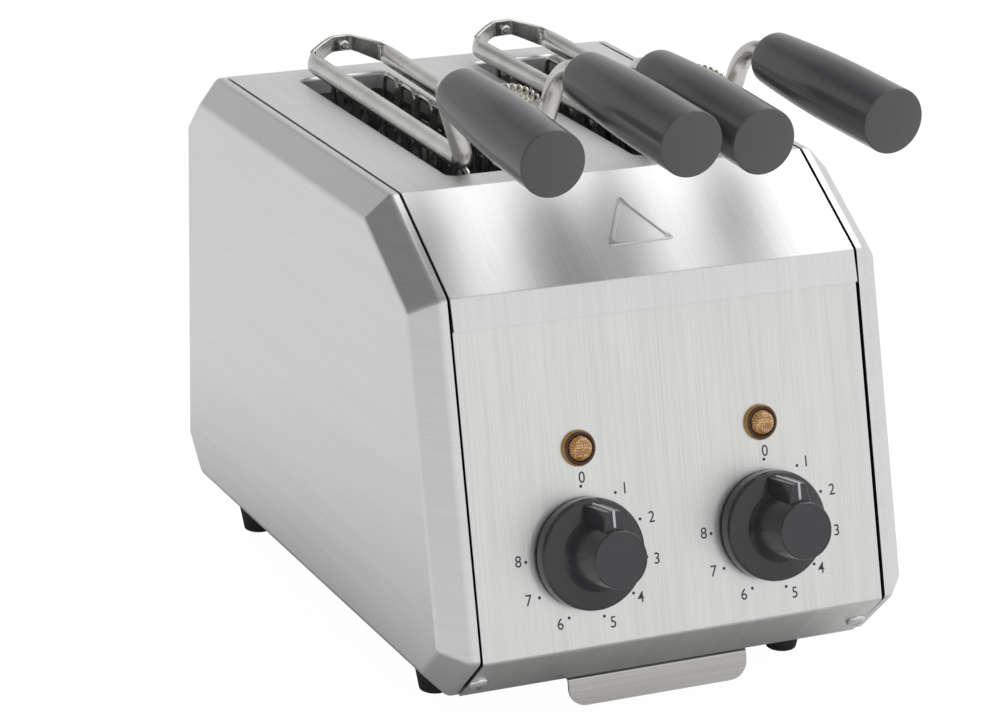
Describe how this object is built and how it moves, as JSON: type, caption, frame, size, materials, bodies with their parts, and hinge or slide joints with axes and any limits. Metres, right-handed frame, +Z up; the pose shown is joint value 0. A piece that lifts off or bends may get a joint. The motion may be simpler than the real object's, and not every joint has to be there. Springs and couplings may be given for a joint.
{
  "type": "sandwich toaster",
  "caption": "Countertop sandwich toaster: folded steel body with slots, timer knobs, lamps, crumb tray and sprung sandwich tongs that lift out of the slots.",
  "frame": {"origin": "on the worktop under the middle of the outline, between the four feet", "axes": "X to the right as seen from the front, Y from the knobs to the back, Z up"},
  "size_m": [0.22, 0.3446, 0.2748],
  "materials": {
    "sheet_steel": "brushed stainless steel sheet",
    "dull_steel": "plain rolled steel sheet",
    "bright_steel": "bright polished steel",
    "tube_steel": "satin steel tube",
    "wire_steel": "satin steel wire",
    "black_plastic": "glossy black moulding",
    "black_rubber": "matt black rubber",
    "amber_lens": "clear amber lens",
    "brown_plastic": "dark brown moulding",
    "quartz": "frosted quartz tube with ceramic ends",
    "cream_plastic": "cream insulating moulding"
  },
  "bodies": {
    "chassis": {"left_side_panel": "sheet_steel", "right_side_panel": "sheet_steel", "top_cover": "sheet_steel", "front_panel": "sheet_steel", "rear_panel": "sheet_steel", "base_plate": "dull_steel", "front_left_foot": "black_rubber", "front_right_foot": "black_rubber", "rear_left_foot": "black_rubber", "rear_right_foot": "black_rubber", "front_bulkhead": "dull_steel", "rear_bulkhead": "dull_steel", "left_reflector": "bright_steel", "right_reflector": "bright_steel", "left_outer_guard": "wire_steel", "left_inner_guard": "wire_steel", "right_inner_guard": "wire_steel", "right_outer_guard": "wire_steel", "left_low_element": "quartz", "left_high_element": "quartz", "centre_low_element": "quartz", "centre_high_element": "quartz", "right_low_element": "quartz", "right_high_element": "quartz", "left_lamp_body": "brown_plastic", "left_lamp_lens": "amber_lens", "left_timer": "cream_plastic", "left_skirt_screw": "bright_steel", "right_lamp_body": "brown_plastic", "right_lamp_lens": "amber_lens", "right_timer": "cream_plastic", "right_skirt_screw": "bright_steel", "rear_screw_1": "bright_steel", "rear_screw_2": "bright_steel", "rear_screw_3": "bright_steel", "rear_screw_4": "bright_steel", "cord_gland": "black_plastic", "cord_gland_nut": "black_plastic", "terminal_block": "cream_plastic"},
    "crumb_tray": {"crumb_tray": "sheet_steel"},
    "left_knob": {"left_knob": "black_plastic", "left_timer_shaft": "bright_steel"},
    "right_knob": {"right_knob": "black_plastic", "right_timer_shaft": "bright_steel"},
    "left_tong": {"left_tong_rivet": "bright_steel", "left_tong_spring": "bright_steel"},
    "left_tong_left_jaw": {"left_tong_arm_left": "tube_steel", "left_tong_cage_left": "wire_steel", "left_tong_handle_left": "black_plastic"},
    "left_tong_right_jaw": {"left_tong_arm_right": "tube_steel", "left_tong_cage_right": "wire_steel", "left_tong_handle_right": "black_plastic"},
    "right_tong": {"right_tong_rivet": "bright_steel", "right_tong_spring": "bright_steel"},
    "right_tong_left_jaw": {"right_tong_arm_left": "tube_steel", "right_tong_cage_left": "wire_steel", "right_tong_handle_left": "black_plastic"},
    "right_tong_right_jaw": {"right_tong_arm_right": "tube_steel", "right_tong_cage_right": "wire_steel", "right_tong_handle_right": "black_plastic"}
  },
  "joints": [
    {"name": "crumb_tray_slide", "type": "slide", "parent": "chassis", "child": "crumb_tray", "axis": [0, -1, 0], "range_m": [0, 0.25]},
    {"name": "left_knob_turn", "type": "hinge", "parent": "chassis", "child": "left_knob", "pos_m": [-0.04315, -0.14729, 0.08303], "axis": [0, 0.9651, -0.2618], "range_deg": [0, 270]},
    {"name": "right_knob_turn", "type": "hinge", "parent": "chassis", "child": "right_knob", "pos_m": [0.04315, -0.14729, 0.08303], "axis": [0, 0.9651, -0.2618], "range_deg": [0, 270]},
    {"name": "left_tong_lift", "type": "slide", "parent": "chassis", "child": "left_tong", "axis": [0, 0, 1], "range_m": [0, 0.2]},
    {"name": "left_tong_squeeze", "type": "hinge", "parent": "left_tong", "child": "left_tong_left_jaw", "pos_m": [-0.0407, 0.13462, 0.2324], "axis": [0, 0.9998, 0.0175], "range_deg": [0, 5.5], "stiffness_Nm_per_rad": 1.6, "springref_deg": -8.59, "deforming": ["left_tong_spring"]},
    {"name": "left_tong_squeeze_right", "type": "hinge", "parent": "left_tong", "child": "left_tong_right_jaw", "pos_m": [-0.0407, 0.13462, 0.2324], "axis": [0, 0.9998, 0.0175], "range_deg": [-5.5, 0], "stiffness_Nm_per_rad": 1.6, "springref_deg": 8.59, "deforming": ["left_tong_spring"]},
    {"name": "right_tong_lift", "type": "slide", "parent": "chassis", "child": "right_tong", "axis": [0, 0, 1], "range_m": [0, 0.2]},
    {"name": "right_tong_squeeze", "type": "hinge", "parent": "right_tong", "child": "right_tong_left_jaw", "pos_m": [0.0415, 0.13462, 0.2324], "axis": [-0.0401, 0.999, 0.0175], "range_deg": [0, 5.5], "stiffness_Nm_per_rad": 1.6, "springref_deg": -8.59, "deforming": ["right_tong_spring"]},
    {"name": "right_tong_squeeze_right", "type": "hinge", "parent": "right_tong", "child": "right_tong_right_jaw", "pos_m": [0.0415, 0.13462, 0.2324], "axis": [-0.0401, 0.999, 0.0175], "range_deg": [-5.5, 0], "stiffness_Nm_per_rad": 1.6, "springref_deg": 8.59, "deforming": ["right_tong_spring"]}
  ],
  "couplings": [
    {"joint": "left_tong_squeeze_right", "follows": "left_tong_squeeze", "ratio": -1},
    {"joint": "right_tong_squeeze_right", "follows": "right_tong_squeeze", "ratio": -1}
  ]
}
